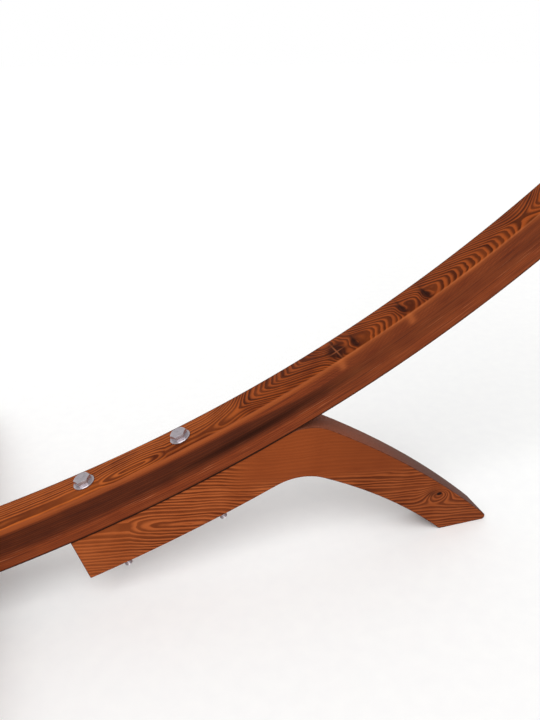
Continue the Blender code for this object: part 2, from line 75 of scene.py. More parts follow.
GAP = 0.0003
ARC_RADIUS = 2.181
BEAM_HEIGHT = 0.0635
UNDERSIDE = ARC_RADIUS + BEAM_HEIGHT
LAP_RADIUS = ARC_RADIUS + BEAM_HEIGHT / 2.0
ARC_CENTRE = Vector((0.0, 0.0, beam_low.z + UNDERSIDE))
BEAM_WIDTH = beam_high.y - beam_low.y
BEAM_ROUND = 0.0021
FRONT_ROUND = 0.0048              # of the upper edge on the show side, which is planed rounder
TIP_ANGLE = 60.0
TIP_ROUND = 0.014
STATION = 0.5                     # degrees between cross-sections of the beam
SAME_STATION = 0.01               # degrees, within which two stations are one
# Knots of the upper face: along the arc, across it, size.
BEAM_KNOTS = ((1.0605, -0.006, 0.0125), (1.0890, -0.012, 0.0040), (1.1724, -0.008, 0.0040),
              (1.2116, -0.012, 0.0045))
LAP_ANGLE = 4.5
LAP_OVERRUN = 1.5                 # degrees of the lap cutter past the half's end
LAP_BOLT_ANGLE = 2.1
FACE_LIFT = 0.0003                # of the washers above the hollow face
DRILL_MARGIN = 0.02               # of cutters past the timber
EDGE_SEGMENTS = 3                 # of a rounded timber edge
EDGE_ANGLE = 40.0                 # degrees, above which an edge is rounded

FOOT_WIDTH = foot_high.y - foot_low.y
FOOT_DEPTH = 0.072
FOOT_START = 16.15
FOOT_LEAVES_BEAM = 24.64
FOOT_BEND_START = 23.48
SHOULDER_RADIUS = 0.078
SHOULDER_TURN = 54.7
SHIN_TOP_RADIUS = 1.54
CROTCH_RADIUS = 0.091
CROTCH_TURN = 49.0
SHIN_UNDER_RADIUS = 0.845
TOE_ROUND = 0.006
FOOT_EDGE = 0.0016
FOOT_BOLT_ANGLES = (17.43, 21.24)

CROSS_X = (cross_low.x + cross_high.x) / 2.0
CROSS_THICKNESS = cross_high.x - cross_low.x
CROSS_SPAN = cross_high.y - cross_low.y
CROSS_CROWN = 0.118
CROSS_TOE_HEIGHT = 0.034
CROSS_CLEARANCE = 0.030
SOLE_LENGTH = 0.115
CROSS_TOE_ROUND = 0.010
CROSS_EDGE = 0.0030
CROSS_SEAT = 0.028                # timber under the beam
NOTCH_ANGLES = (7.0, 15.0)        # of the arc, past both faces of the cross foot
RECESS_RADIUS = 0.0175            # for the cross bolt's nut
RECESS_CUT = 0.03

SIDES = 24                        # around bolts, nuts and holes
BOLT_RADIUS = 0.006
BOLT_PITCH = 0.00175
HEAD_FLATS = 0.021
HEAD_HEIGHT = 0.0080
NUT_HEIGHT = 0.010
WASHER_RADIUS = 0.0150
WASHER_THICKNESS = 0.0025
THREAD_LENGTH = 0.030
FOOT_BOLT_END = 0.0255
LAP_BOLT_END = 0.0165
CROSS_BOLT_END = 0.0165
CHAMFER_START = 0.475             # radius of a hexagon's flat face, of its flats
CHAMFER_ANGLE = 30.0
HEAD_CENTRE = 0.55                # of the flat face's radius
THREAD_CHAMFER = 0.17             # height of the thread's end, of the bolt radius
THREAD_TIP = 0.72                 # of the bolt radius
HOLE_MOUTH = 1.12                 # of a nut's hole, at its faces
MOUTH_DEPTH = 0.1                 # of the hole radius
WASHER_ROLL = 0.28                # of the thickness

EYE_ANGLE = 57.5
EYE_STANDOFF = 0.060
EYE_RING_RADIUS = 0.0185
EYE_WIRE = 0.005
EYE_BOLT_RADIUS = 0.005
EYE_PITCH = 0.0015
EYE_NUT_FLATS = 0.017
EYE_NUT_HEIGHT = 0.008
EYE_WASHER_RADIUS = 0.012
EYE_WASHER_THICKNESS = 0.002
EYE_BOLT_END = 0.014
EYE_THREAD_START = 0.006          # above the upper nut
RING_SEGMENTS = 64
WIRE_SIDES = 20

HOOK_LENGTH = 0.080
HOOK_WIRE = 0.004
HOOK_TOP_RADIUS = 0.011
HOOK_BOTTOM_RADIUS = 0.016
HOOK_PLAY = 0.0005
HINGE_CLEAR_ANGLE = 26.0
GATE_PIN_RADIUS = 0.0012
TONGUE_THICKNESS = 0.0030
TONGUE_RADIUS = 0.0034
NECK_LENGTH = 0.0070
NECK_FIT = 0.98                   # of the tongue's thickness
NECK_WIDTH = 0.9                  # of the tongue's radius
SLOT_WIDTH = 0.0036
SLOT_FLOOR = 0.0042
LATCH_LAP = 0.004
LATCH_GAP = 0.0004
SPRING_BORE = 0.0022
SPRING_LENGTH = 0.011
BORE_OVERRUN = 0.001
HOOK_CUT = 0.01                   # reach of cutters in the hook and the gate

CAMERA_PLACE = Vector((0.665, -0.82, 0.740))
CAMERA_TURN = 17.4                # degrees from +Y towards +X
CAMERA_DROP = 24.9                # degrees below the horizon
CAMERA_LENS = 33.95               # millimetres, as is the sensor
SENSOR_WIDTH = 36.0
WORLD_STRENGTH = 0.62
KEY_STRENGTH = 2.0
KEY_SPREAD = 50.0                 # degrees
KEY_HEADING = (0.30, 0.62, -0.75)
FLOOR_REACH = 30.0

SIDE_NAMES = ((1, "right"), (-1, "left"))


# ---------------------------------------------------------------- meshes
def mesh_from(name, points, faces):
    mesh = bpy.data.meshes.new(name)
    mesh.from_pydata(points, [], faces)
    work = bmesh.new()
    work.from_mesh(mesh)
    bmesh.ops.recalc_face_normals(work, faces=work.faces)
    work.to_mesh(mesh)
    work.free()
    return mesh


def loft(name, rings, closed=False):
    """Skin through equal rings; capped at both ends, or closed round to the first ring."""
    count = len(rings[0])
    points = [point for ring in rings for point in ring]
    rows = len(rings) if closed else len(rings) - 1
    faces = []
    for row in range(rows):
        start = row * count
        after = (row + 1) % len(rings) * count
        for step in range(count):
            beside = (step + 1) % count
            faces.append([start + step, start + beside, after + beside, after + step])
    if not closed:
        faces.append(list(range(count)))
        faces.append(list(range(len(points) - count, len(points))))
    return mesh_from(name, points, faces)


def round_ring(place, radius, height, sides=SIDES):
    ring = []
    for step in range(sides):
        angle = 2.0 * math.pi * step / sides
        ring.append(place @ Vector((radius * math.cos(angle), radius * math.sin(angle), height)))
    return ring


def hex_ring(place, flats, height, chamfer=0.0):
    """Hexagon about Z; chamfer +1 or -1 moves its corners up or down Z."""
    ring = []
    for step in range(SIDES):
        angle = 2.0 * math.pi * step / SIDES
        from_flat = angle % (math.pi / 3.0) - math.pi / 6.0
        reach = flats / 2.0 / math.cos(from_flat)
        drop = chamfer * (reach - CHAMFER_START * flats) * math.tan(math.radians(CHAMFER_ANGLE))
        ring.append(place @ Vector((reach * math.cos(angle), reach * math.sin(angle),
                                    height + drop)))
    return ring


def thread_rings(place, radius, pitch, low, high):
    """Rows of a right-hand thread cut into a shank between two heights."""
    rows_per_turn = 6
    depth = 0.5 * pitch
    rows = int((high - low) / pitch * rows_per_turn)
    rings = []
    for row in range(rows + 1):
        height = low + (high - low) * row / rows
        fade = min(1.0, row / rows_per_turn)
        ring = []
        for step in range(SIDES):
            turn = step / SIDES
            wave = abs((height / pitch - turn) % 1.0 * 2.0 - 1.0)
            reach = radius - depth * fade * wave
            angle = 2.0 * math.pi * turn
            ring.append(place @ Vector((reach * math.cos(angle), reach * math.sin(angle),
                                        height)))
        rings.append(ring)
    return rings


def cylinder(name, place, radius, low, high):
    return loft(name, [round_ring(place, radius, low), round_ring(place, radius, high)])


def block(name, place, low, high):
    rings = []
    for height in (low[2], high[2]):
        rings.append([place @ Vector((low[0], low[1], height)),
                      place @ Vector((high[0], low[1], height)),
                      place @ Vector((high[0], high[1], height)),
                      place @ Vector((low[0], high[1], height))])
    return loft(name, rings)


# ---------------------------------------------------------------- pieces
def shown(name, mesh, finish, cad_node, sharp=30.0):
    """A finished piece that stands for one CAD node and rides on that node's body."""
    mesh.materials.clear()
    mesh.materials.append(finish)
    mesh.shade_smooth()
    mesh.set_sharp_from_angle(angle=math.radians(sharp))
    piece = bpy.data.objects.new(name, mesh)
    bpy.context.scene.collection.objects.link(piece)
    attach(piece, frame["nodes"][cad_node]["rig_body"])
    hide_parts(cad_node)


def carve(name, mesh, steps, bevel=None):
    """Mesh after an optional rounding of its edges and then Boolean steps (mesh, operation)."""
    work = bpy.data.objects.new(name, mesh)
    bpy.context.scene.collection.objects.link(work)
    helpers = [work]
    if bevel:
        rounding = work.modifiers.new("edges", 'BEVEL')
        rounding.width = bevel
        rounding.segments = EDGE_SEGMENTS
        rounding.limit_method = 'ANGLE'
        rounding.angle_limit = math.radians(EDGE_ANGLE)
    for guide_mesh, operation in steps:
        guide = bpy.data.objects.new("guide", guide_mesh)
        bpy.context.scene.collection.objects.link(guide)
        helpers.append(guide)
        cut = work.modifiers.new("cut", 'BOOLEAN')
        cut.operation = operation
        cut.solver = 'EXACT'
        cut.object = guide
    graph = bpy.context.evaluated_depsgraph_get()
    result = bpy.data.meshes.new_from_object(work.evaluated_get(graph))
    for helper in helpers:
        bpy.data.objects.remove(helper, do_unlink=True)
    result.name = name
    return result


# ---------------------------------------------------------------- the arc's own geometry
def polar(radius, degrees, across=0.0):
    """Point at a radius and an angle of the arc, measured from straight down."""
    angle = math.radians(degrees)
    return ARC_CENTRE + Vector((radius * math.sin(angle), across, -radius * math.cos(angle)))


def radial_frame(radius, degrees):
    """Frame on the arc: Z points out through the beam, Y across it."""
    turn = Matrix.Rotation(math.radians(180.0 - degrees), 4, 'Y')
    return Matrix.Translation(polar(radius, degrees)) @ turn


def stations(first, last):
    """Angles from first to last with every whole station between them."""
    count = math.floor(last / STATION) - math.ceil(first / STATION)
    inner = [(math.ceil(first / STATION) + step) * STATION for step in range(count + 1)]
    between = [angle for angle in inner
               if first + SAME_STATION < angle < last - SAME_STATION]
    return [first] + between + [last]


# ---------------------------------------------------------------- shader arithmetic
class Signal:
    """A number inside a shader that can be used in ordinary arithmetic."""

    def __init__(self, tree, socket):
        self.tree = tree
        self.socket = socket

    def math(self, operation, *others):
        made = self.tree.nodes.new("ShaderNodeMath")
        made.operation = operation
        for slot, value in zip(made.inputs, (self,) + others):
            feed(self.tree, slot, value)
        return Signal(self.tree, made.outputs[0])

    def __add__(self, other):
        return self.math('ADD', other)

    def __sub__(self, other):
        return self.math('SUBTRACT', other)

    def __mul__(self, other):
        return self.math('MULTIPLY', other)

    def __truediv__(self, other):
        return self.math('DIVIDE', other)

    def ramp(self, low, high):
        """0 below low, 1 above high, smooth between."""
        made = self.tree.nodes.new("ShaderNodeMapRange")
        made.interpolation_type = 'SMOOTHSTEP'
        feed(self.tree, made.inputs["Value"], self)
        feed(self.tree, made.inputs["From Min"], low)
        feed(self.tree, made.inputs["From Max"], high)
        return Signal(self.tree, made.outputs["Result"])

    def fall(self, low, high):
        """1 below low, 0 above high, smooth between."""
        return self.ramp(low, high) * -1.0 + 1.0

    def bell(self, centre, width):
        """1 at the centre, falling away smoothly over the width."""
        offset = (self - centre) / width
        return (offset * offset * -1.0).math('EXPONENT')


def feed(tree, slot, value):
    if isinstance(value, Signal):
        tree.links.new(value.socket, slot)
    else:
        slot.default_value = value


def vector(tree, x, y, z):
    made = tree.nodes.new("ShaderNodeCombineXYZ")
    for slot, value in zip(made.inputs, (x, y, z)):
        feed(tree, slot, value)
    return Signal(tree, made.outputs[0])


def noise(tree, place, scale, detail=2.0, roughness=0.5):
    """Noise from about -1 to 1 at a place."""
    made = tree.nodes.new("ShaderNodeTexNoise")
    feed(tree, made.inputs["Vector"], place)
    made.inputs["Scale"].default_value = scale
    made.inputs["Detail"].default_value = detail
    made.inputs["Roughness"].default_value = roughness
    return (Signal(tree, made.outputs[0]) - 0.5) * 2.0


def blend(tree, amount, first, second):
    """Colour between two colours; each is a Signal or an sRGB triple of 0 to 255."""
    made = tree.nodes.new("ShaderNodeMix")
    made.data_type = 'RGBA'
    made.clamp_factor = True
    feed(tree, made.inputs[0], amount)
    for slot, value in ((made.inputs[6], first), (made.inputs[7], second)):
        feed(tree, slot, value if isinstance(value, Signal) else linear(value))
    return Signal(tree, made.outputs[2])


def linear(srgb):
    """Linear colour with alpha from an sRGB triple of 0 to 255."""
    found = []
    for level in srgb:
        part = level / 255.0
        found.append(part / 12.92 if part <= 0.04045 else ((part + 0.055) / 1.055) ** 2.4)
    return (*found, 1.0)


def new_material(name):
    made = bpy.data.materials.new(name)
    made.use_nodes = True
    tree = made.node_tree
    return made, tree, tree.nodes["Principled BSDF"]


def own_coordinates(tree):
    """Place and outward direction in the piece's own frame, at rest the CAD's frame."""
    source = tree.nodes.new("ShaderNodeTexCoord")
    found = []
    for output in ("Object", "Normal"):
        split = tree.nodes.new("ShaderNodeSeparateXYZ")
        tree.links.new(source.outputs[output], split.inputs[0])
        found.append([Signal(tree, split.outputs[axis]) for axis in range(3)])
    return found


def bump(tree, shader, height, strength, distance):
    made = tree.nodes.new("ShaderNodeBump")
    made.inputs["Strength"].default_value = strength
    made.inputs["Distance"].default_value = distance
    feed(tree, made.inputs["Height"], height)
    tree.links.new(made.outputs[0], shader.inputs["Normal"])


# ---------------------------------------------------------------- wood
# Along the beam, places are metres of arc from its lowest point; depth is metres below
# its upper face. Pairs are where a change starts and where it is complete.
OVAL_PLACE = 0.7327
FLAME_PLACE = 1.060               # where the flames of both sides meet, at the star knot
STEEP_START = (0.865, 0.915)
LEFT_FLAME = (0.865, 0.925)
RIGHT_FLAME = (1.030, 1.095)
FAR_FIGURE = (1.36, 1.52)
VEE_SOFTNESS = 0.0065
GLUE_LINES = (0.0212, 0.0423)
FINGER_JOINTS = (1.055, 1.172)
LEFT_HALF_SHIFT = 0.31            # of the figure, so that the halves don't look copied
WOOD_SPECULAR = 0.035


def latewood(rings, along):
    """Darkness of a growth ring: slow rise through the ring, sudden end; no two alike."""
    tree = rings.tree
    uneven = noise(tree, vector(tree, rings * 0.45, along * 1.5, 0.0), 1.0, 1.0)
    tone = noise(tree, vector(tree, rings * 0.8, along * 6.0, 7.0), 1.0, 2.0)
    part = (rings + uneven * 0.7).math('FRACT')
    dark = part.ramp(0.10, 0.62) * part.fall(0.84, 1.0)
    return dark * (tone * 0.55 + 0.85)


def oval_rings(aside, opening, spacing):
    """Rings that run straight on both sides of an axis and close where the opening is small."""
    return (aside * aside + opening * opening).math('SQRT') / spacing


def opening_at(distance, narrow, half_length, wide):
    """Opening of the rings: narrow at distance 0, wide beyond the half length."""
    part = distance / half_length
    return (part * part * (wide - narrow) + narrow).math('MINIMUM', wide)


def vee_rings(aside, behind, before):
    """Slopes of the rings behind and before an axis, in rings per metre."""
    soft = (aside * aside + VEE_SOFTNESS ** 2).math('SQRT')
    return soft * ((behind + before) / 2.0) + aside * ((behind - before) / 2.0)


def mixed(first, second, amount):
    return first + (second - first) * amount


def face_rings(along, across, wander):
    """Growth rings of the upper face: straight, then a flame to each side of a knot."""
    aside = across + 0.015
    straight = oval_rings(aside, opening_at(along - OVAL_PLACE, 0.003, 0.050, 0.013), 0.0050)
    straight = straight + aside * (along.bell(OVAL_PLACE, 0.055) * -25.0 + 25.0)
    straight = straight - along.ramp(0.84, 0.93) * 5.0 + 17.0
    crest = (along - 0.85) * 0.14 - 0.010 + along.ramp(0.96, 1.03) * 0.008
    left = (along - FLAME_PLACE) * -111.0 + vee_rings(across - crest, 40.0, 150.0)
    right = (along - FLAME_PLACE) * 100.0 + vee_rings(across + 0.004, 165.0, 50.0)
    far = vee_rings(across + 0.006, 210.0, 210.0) + along * 9.0
    rings = mixed(straight, left, along.ramp(*LEFT_FLAME))
    rings = mixed(rings, right, along.ramp(*RIGHT_FLAME))
    rings = mixed(rings, far, along.ramp(*FAR_FIGURE))
    return rings + wander


def beam_material(name, shift):
    """Laminated larch that follows the arc; shift moves the figure along the beam."""
    made, tree, shader = new_material(name)
    (x, y, z), (_, out_y, _) = own_coordinates(tree)
    below = z * -1.0 + ARC_CENTRE.z
    radius = (x * x + below * below).math('SQRT')
    depth = radius - ARC_RADIUS
    along = x.math('ABSOLUTE').math('ARCTAN2', below) * ARC_RADIUS + shift
    broad = noise(tree, vector(tree, along * 0.25, y, depth), 14.0, 3.0)
    fine = noise(tree, vector(tree, along * 0.35, y, depth), 75.0, 2.0)
    streak = noise(tree, vector(tree, along * 0.04, y, depth), 420.0, 3.0, 0.6)
    patch = noise(tree, vector(tree, along, y, depth), 26.0, 2.0)
    steep = along.ramp(*STEEP_START)

    wander = fine * (steep * -0.20 + 0.35) + broad * (steep * 0.75 + 0.55)
    rings = face_rings(along, y, wander) + depth * 180.0
    knot_dark = None
    crack = None
    for knot_along, knot_across, size in BEAM_KNOTS:
        ripple = along.bell(knot_along, size * 0.8 + 0.006) * y.bell(knot_across, 0.014)
        core = along.bell(knot_along, size) * y.bell(knot_across, size * 0.8 + 0.010)
        slanted = along - (y - knot_across) * 0.12
        split = slanted.bell(knot_along, 0.0018) * y.bell(knot_across + 0.006, 0.018)
        rings = rings + ripple * 2.6
        knot_dark = core if knot_dark is None else knot_dark.math('MAXIMUM', core)
        crack = split if crack is None else crack.math('MAXIMUM', split)
    figure = latewood(rings, along)

    # upper face
    light = blend(tree, steep, (172, 87, 36), (150, 70, 26))
    dark = blend(tree, steep, (72, 24, 4), (44, 11, 1))
    contrast = patch * 0.22 + 0.86
    upper = blend(tree, figure * contrast, light, dark)
    upper = blend(tree, (patch + broad).ramp(-0.35, 0.85) * 0.60, upper, (80, 28, 9))
    upper = blend(tree, (knot_dark * 1.5).math('MINIMUM', 0.88), upper, (44, 13, 4))
    upper = blend(tree, crack * 0.8, upper, (34, 11, 4))
    star = along.bell(BEAM_KNOTS[0][0], 0.0011) * y.bell(-0.004, 0.020)
    ray = y.bell(-0.007, 0.0012) * along.bell(BEAM_KNOTS[0][0], 0.010)
    upper = blend(tree, star.math('MAXIMUM', ray) * 0.7, upper, (158, 88, 52))

    # sides: three boards, darker in a soft band below the upper edge, with fine pale lines along
    # them
    lines = latewood(depth * 330.0 + fine * 0.5 + broad * 0.6, along)
    side = blend(tree, patch.ramp(-0.8, 0.8), (138, 66, 31), (120, 53, 25))
    dim = along.ramp(0.96, 1.08) * (depth.ramp(0.034, 0.046) * -0.5 + 1.0)
    side = blend(tree, dim * 0.44, side, (78, 33, 22))
    side = blend(tree, lines * 0.55, side, (84, 34, 20))
    vein = noise(tree, vector(tree, along * 0.03, y * 0.2, depth), 330.0, 2.0, 0.6)
    side = blend(tree, vein.ramp(-0.1, 0.5) * 0.70, side, (62, 26, 19))
    side = blend(tree, vein.ramp(-0.1, -0.6) * 0.22, side, (160, 88, 58))
    top_board = depth.fall(0.0195, 0.0215)
    side = blend(tree, top_board * figure * along.ramp(0.96, 1.05) * 0.45, side, (82, 34, 20))
    pale = noise(tree, vector(tree, along * 0.022, y * 0.2, depth), 760.0, 1.0).ramp(0.28, 0.5)
    pale = pale * depth.ramp(0.020, 0.032) * (depth.ramp(0.046, 0.052) * -0.6 + 1.0)
    side = blend(tree, pale * 0.62, side, (178, 106, 70))
    band_top = along.ramp(0.86, 1.04) * 0.013 + broad * 0.003
    band = (depth - band_top).ramp(0.0055, 0.0115) * depth.fall(0.033, 0.047)
    band = band * (along.ramp(0.97, 1.14) * -0.74 + 1.0) * (patch * 0.14 + 0.88)
    core_band = depth.bell(0.0305, 0.0062) * along.bell(0.895, 0.12)
    side = blend(tree, band * (lines * 0.16 + 0.80), side, (62, 28, 17))
    side = blend(tree, core_band * 0.85, side, (34, 12, 5))
    near_joint, far_joint = [along.bell(joint, 0.006) for joint in FINGER_JOINTS]
    finger = near_joint.math('MAXIMUM', far_joint)
    side = blend(tree, finger * (depth.ramp(0.013, 0.021) * -0.5 + 0.5), side, (172, 92, 48))
    # painted highlight: the side lighter just below its upper edge, as if lit from above
    ridge_highlight = depth.fall(0.003, 0.010) * (broad * 0.3 + 0.6)
    side = blend(tree, ridge_highlight * (along.ramp(0.95, 1.15) * -0.6 + 1.0), side, (156, 80, 38))
    # painted highlight on the rounded front upper edge, chosen by which way the surface faces
    front_edge_highlight = out_y.bell(-0.72, 0.22) * along.ramp(0.98, 1.08)

    on_side = out_y.math('ABSOLUTE').ramp(0.45, 0.85)
    colour = blend(tree, on_side, upper, side)
    # painted shade: thin dark line on the lower edge's rounding, which faces down
    colour = blend(tree, depth.ramp(0.0594, 0.0618) * 0.9, colour, (30, 11, 6))
    # lighten the front upper edge with the painted highlight
    colour = blend(tree, front_edge_highlight * (fine * 0.4 + 0.32), colour, (196, 108, 54))
    # painted shade: dark line on the rounded rear upper edge, which turns away from the light
    rear_edge_shade = y.ramp(0.0268, 0.0288) * depth.fall(0.003, 0.006)
    colour = blend(tree, rear_edge_shade * 0.9, colour, (40, 10, 6))
    upper_line, lower_line = [(depth - line).math('ABSOLUTE') for line in GLUE_LINES]
    glue = upper_line.math('MINIMUM', lower_line).fall(0.00015, 0.0005) * on_side
    colour = blend(tree, glue * 0.35, colour, (48, 22, 14))
    colour = blend(tree, streak.ramp(0.1, 0.9) * 0.30, colour, (76, 32, 16))
    tree.links.new(colour.socket, shader.inputs["Base Color"])

    roughness = streak * 0.05 + figure * -0.04 + broad * 0.03 + 0.42
    tree.links.new(roughness.socket, shader.inputs["Roughness"])
    shader.inputs["Specular IOR Level"].default_value = WOOD_SPECULAR
    relief = figure * 0.6 + streak * 0.35 - glue * 1.2 - crack * 1.5
    bump(tree, shader, relief, strength=0.35, distance=0.0006)
    return made


def board_material(name, axis, mirror, tilt, nest, knot, plain):
    """Flat-sawn larch board lying in a vertical plane along X or Y.

    Nest and knot are places (along, height) of an oval of rings and of a knot. The rings
    fall by tilt degrees along the board. Plain is (start, end, height): between the two
    distances the rings are faint above that height. Distances count along X or Y, or the
    other way where mirror is -1."""
    made, tree, shader = new_material(name)
    (x, y, z), (out_x, out_y, _) = own_coordinates(tree)
    along, across, out = (x, y, out_y) if axis == 'X' else (y, x, out_x)
    along = along * mirror
    nest_along, nest_height = nest
    knot_along, knot_height = knot
    plain_start, plain_end, plain_height = plain
    slope = math.tan(math.radians(tilt))
    broad = noise(tree, vector(tree, along * 0.3, z, across * 0.4), 17.0, 3.0)
    fine = noise(tree, vector(tree, along * 0.30, z, across * 0.5), 55.0, 2.0)
    streak = noise(tree, vector(tree, along * 0.05, z, across), 500.0, 3.0, 0.6)
    patch = noise(tree, vector(tree, along, z, across), 24.0, 2.0)

    aside = (along - nest_along) * slope + z - nest_height
    near = oval_rings(aside, opening_at(along - nest_along, 0.002, 0.080, 0.015), 0.0054)
    rings = mixed(near, aside / 0.0060 + 0.6, along.ramp(nest_along + 0.11, nest_along + 0.24))
    ripple = along.bell(knot_along, 0.024) * z.bell(knot_height, 0.0145)
    rings = rings - ripple * 6.0 + across * 90.0 + fine * 0.55 + broad * 0.9
    figure = latewood(rings, along)

    faint = (along * 0.1 + z).ramp(plain_height, plain_height + 0.018)
    faint = faint * along.ramp(plain_start, plain_start + 0.05)
    faint = faint * along.fall(plain_end, plain_end + 0.04)
    worn = (along - nest_along).ramp(-0.10, -0.04) * 0.35 + 0.65
    contrast = (faint * -0.88 + 1.0) * (patch * 0.2 + 0.92) * worn
    light = blend(tree, patch.ramp(-0.8, 0.9), (173, 91, 46), (150, 73, 32))
    light = blend(tree, faint * (patch * -0.35 + 0.8), light, (130, 60, 26))
    dark = blend(tree, broad.ramp(-0.6, 0.6), (98, 40, 15), (72, 26, 7))
    face = blend(tree, figure * contrast, light, dark)
    face = blend(tree, along.ramp(0.94, 1.10) * 0.30, face, (84, 36, 16))
    shade = along.bell(knot_along - 0.014, 0.010) * z.bell(knot_height + 0.003, 0.007)
    face = blend(tree, shade * 0.6, face, (60, 28, 16))
    core = along.bell(knot_along, 0.0056) * z.bell(knot_height, 0.0036)
    face = blend(tree, core.ramp(0.25, 0.7), face, (26, 12, 9))

    below = z * -1.0 + ARC_CENTRE.z
    from_seat = (x * x + below * below).math('SQRT') - UNDERSIDE
    edge_face = blend(tree, along.math('ABSOLUTE').ramp(1.02, 1.20), (142, 80, 57), (104, 68, 57))
    edge_face = blend(tree, streak.ramp(-0.8, 0.8) * 0.5, edge_face, (78, 44, 34))
    on_face = out.math('ABSOLUTE').ramp(0.80, 0.97)
    colour = blend(tree, on_face, edge_face, face)
    # painted shade on the rounded edges of the boards, stronger where dark latewood runs out to
    # them
    rounding = out.math('ABSOLUTE').bell(0.74, 0.17)
    colour = blend(tree, rounding * (figure * 0.5 + 0.4), colour, (42, 17, 10))
    colour = blend(tree, streak.ramp(0.1, 0.9) * 0.25, colour, (80, 34, 17))
    # painted shadow: dark line in the crease where the board meets the beam's underside
    seat_shadow = from_seat.math('ABSOLUTE').ramp(0.0026, 0.0008) * y.math('ABSOLUTE').ramp(0.034, 0.031)
    colour = blend(tree, seat_shadow * 0.9, colour, (20, 7, 4))
    tree.links.new(colour.socket, shader.inputs["Base Color"])

    roughness = streak * 0.05 + on_face * -0.14 + broad * 0.03 + 0.62
    tree.links.new(roughness.socket, shader.inputs["Roughness"])
    shader.inputs["Specular IOR Level"].default_value = WOOD_SPECULAR
    relief = figure * on_face * 0.7 + streak * 0.35
    bump(tree, shader, relief, strength=0.35, distance=0.0006)
    return made


# ---------------------------------------------------------------- metal
def metal_material(name, colour, roughness, blotch, metallic):
    """Zinc-plated or bright steel with faint spangle, rubbed spots and fine scratches."""
    made, tree, shader = new_material(name)
    (x, y, z), _ = own_coordinates(tree)
    place = vector(tree, x, y, z)
    spangle = noise(tree, place, 900.0, 3.0, 0.6)
    cloud = noise(tree, place, 160.0, 2.0)
    scratch = noise(tree, vector(tree, x * 0.2, y, z), 2600.0, 2.0, 0.7)
    darker = tuple(level * 0.68 for level in colour)
    tint = blend(tree, (spangle * 0.5 + cloud * 0.6).ramp(-0.6, 0.8) * blotch, colour, darker)
    tree.links.new(tint.socket, shader.inputs["Base Color"])
    shader.inputs["Metallic"].default_value = metallic
    rough = cloud * 0.06 + spangle * 0.05 + roughness
    tree.links.new(rough.socket, shader.inputs["Roughness"])
    bump(tree, shader, scratch * 0.5 + spangle * 0.5, strength=0.12, distance=0.0002)
    return made


# ---------------------------------------------------------------- main beam
def beam_section(degrees, trim=0.0, grow=0.0):
    """Rectangle with rounded corners across the beam."""
    side = BEAM_WIDTH / 2.0 + grow
    inner = ARC_RADIUS + trim - grow
    outer = UNDERSIDE - trim + grow
    steps = 5
    ring = []
    for across, radius, first, size in ((-1, 1, 180, FRONT_ROUND), (1, 1, 270, BEAM_ROUND),
                                        (1, -1, 0, BEAM_ROUND), (-1, -1, 90, BEAM_ROUND)):
        middle = (inner if radius == 1 else outer) + radius * size
        for step in range(steps + 1):
            angle = math.radians(first + 90.0 * step / steps)
            ring.append(polar(middle + size * math.sin(angle), degrees,
                              across * (side - size) + size * math.cos(angle)))
    return ring


def half_beam_mesh(name, side):
    """One half with its full section over the whole lap; side is +1 right, -1 left."""
    tip = []
    for turn in range(90, -1, -15):
        angle = math.radians(turn)
        from_end = math.degrees(TIP_ROUND * (1.0 - math.cos(angle)) / LAP_RADIUS)
        tip.append((TIP_ANGLE - from_end, TIP_ROUND * (1.0 - math.sin(angle))))
    rings = [(angle, 0.0) for angle in stations(-LAP_ANGLE, tip[0][0])[:-1]] + tip
    return loft(name, [beam_section(side * angle, trim) for angle, trim in rings])


def arc_block(name, low, high, first, last):
    """Block that follows the arc between two radii and two angles, wider than the beam."""
    rings = []
    for angle in stations(first, last):
        rings.append([polar(low, angle, -BEAM_WIDTH), polar(low, angle, BEAM_WIDTH),
                      polar(high, angle, BEAM_WIDTH), polar(high, angle, -BEAM_WIDTH)])
    return loft(name, rings)


def drill(place, radius, low, high):
    return (cylinder("drill", place, radius, low, high), 'DIFFERENCE')


def make_beams():
    shoulder = LAP_ANGLE + math.degrees(GAP / ARC_RADIUS)
    past = LAP_ANGLE + LAP_OVERRUN
    seat_angle = math.degrees(math.asin(CROSS_X / UNDERSIDE))
    for side, label in SIDE_NAMES:
        if side == 1:
            lap = arc_block("lap", LAP_RADIUS - GAP / 2.0, UNDERSIDE + DRILL_MARGIN,
                            -past, shoulder)
        else:
            lap = arc_block("lap", ARC_RADIUS - DRILL_MARGIN, LAP_RADIUS + GAP / 2.0,
                            -shoulder, past)
        steps = [(lap, 'DIFFERENCE')]
        angles = [-LAP_BOLT_ANGLE, LAP_BOLT_ANGLE, side * seat_angle]
        angles += [side * angle for angle in FOOT_BOLT_ANGLES]
        holes = [(angle, BOLT_RADIUS) for angle in angles] + [(side * EYE_ANGLE, EYE_BOLT_RADIUS)]
        for angle, radius in holes:
            steps.append(drill(radial_frame(ARC_RADIUS, angle), radius + GAP,
                               -DRILL_MARGIN, BEAM_HEIGHT + DRILL_MARGIN))
        name = "beam_timber_" + label
        mesh = carve(name, half_beam_mesh(name, side), steps)
        finish = beam_material(name, 0.0 if side == 1 else LEFT_HALF_SHIFT)
        shown(name, mesh, finish, "arc_beam_" + label)


# ---------------------------------------------------------------- boomerang feet
def heading(degrees):
    return Vector((math.cos(math.radians(degrees)), 0.0, math.sin(math.radians(degrees))))


def bend(points, direction, radius, turn, steps):
    """Add a right-hand bend to an outline in the plane Y = 0; returns the new heading."""
    centre = points[-1] + radius * heading(direction - 90.0)
    for step in range(1, steps + 1):
        points.append(centre - radius * heading(direction - 90.0 - turn * step / steps))
    return direction - turn


def turn_to_floor(point, direction, radius):
    """Right-hand turn after which a bend from a point reaches Z = 0."""
    cosine = (radius * math.cos(math.radians(direction)) - point.z) / radius
    return direction + math.degrees(math.acos(cosine))


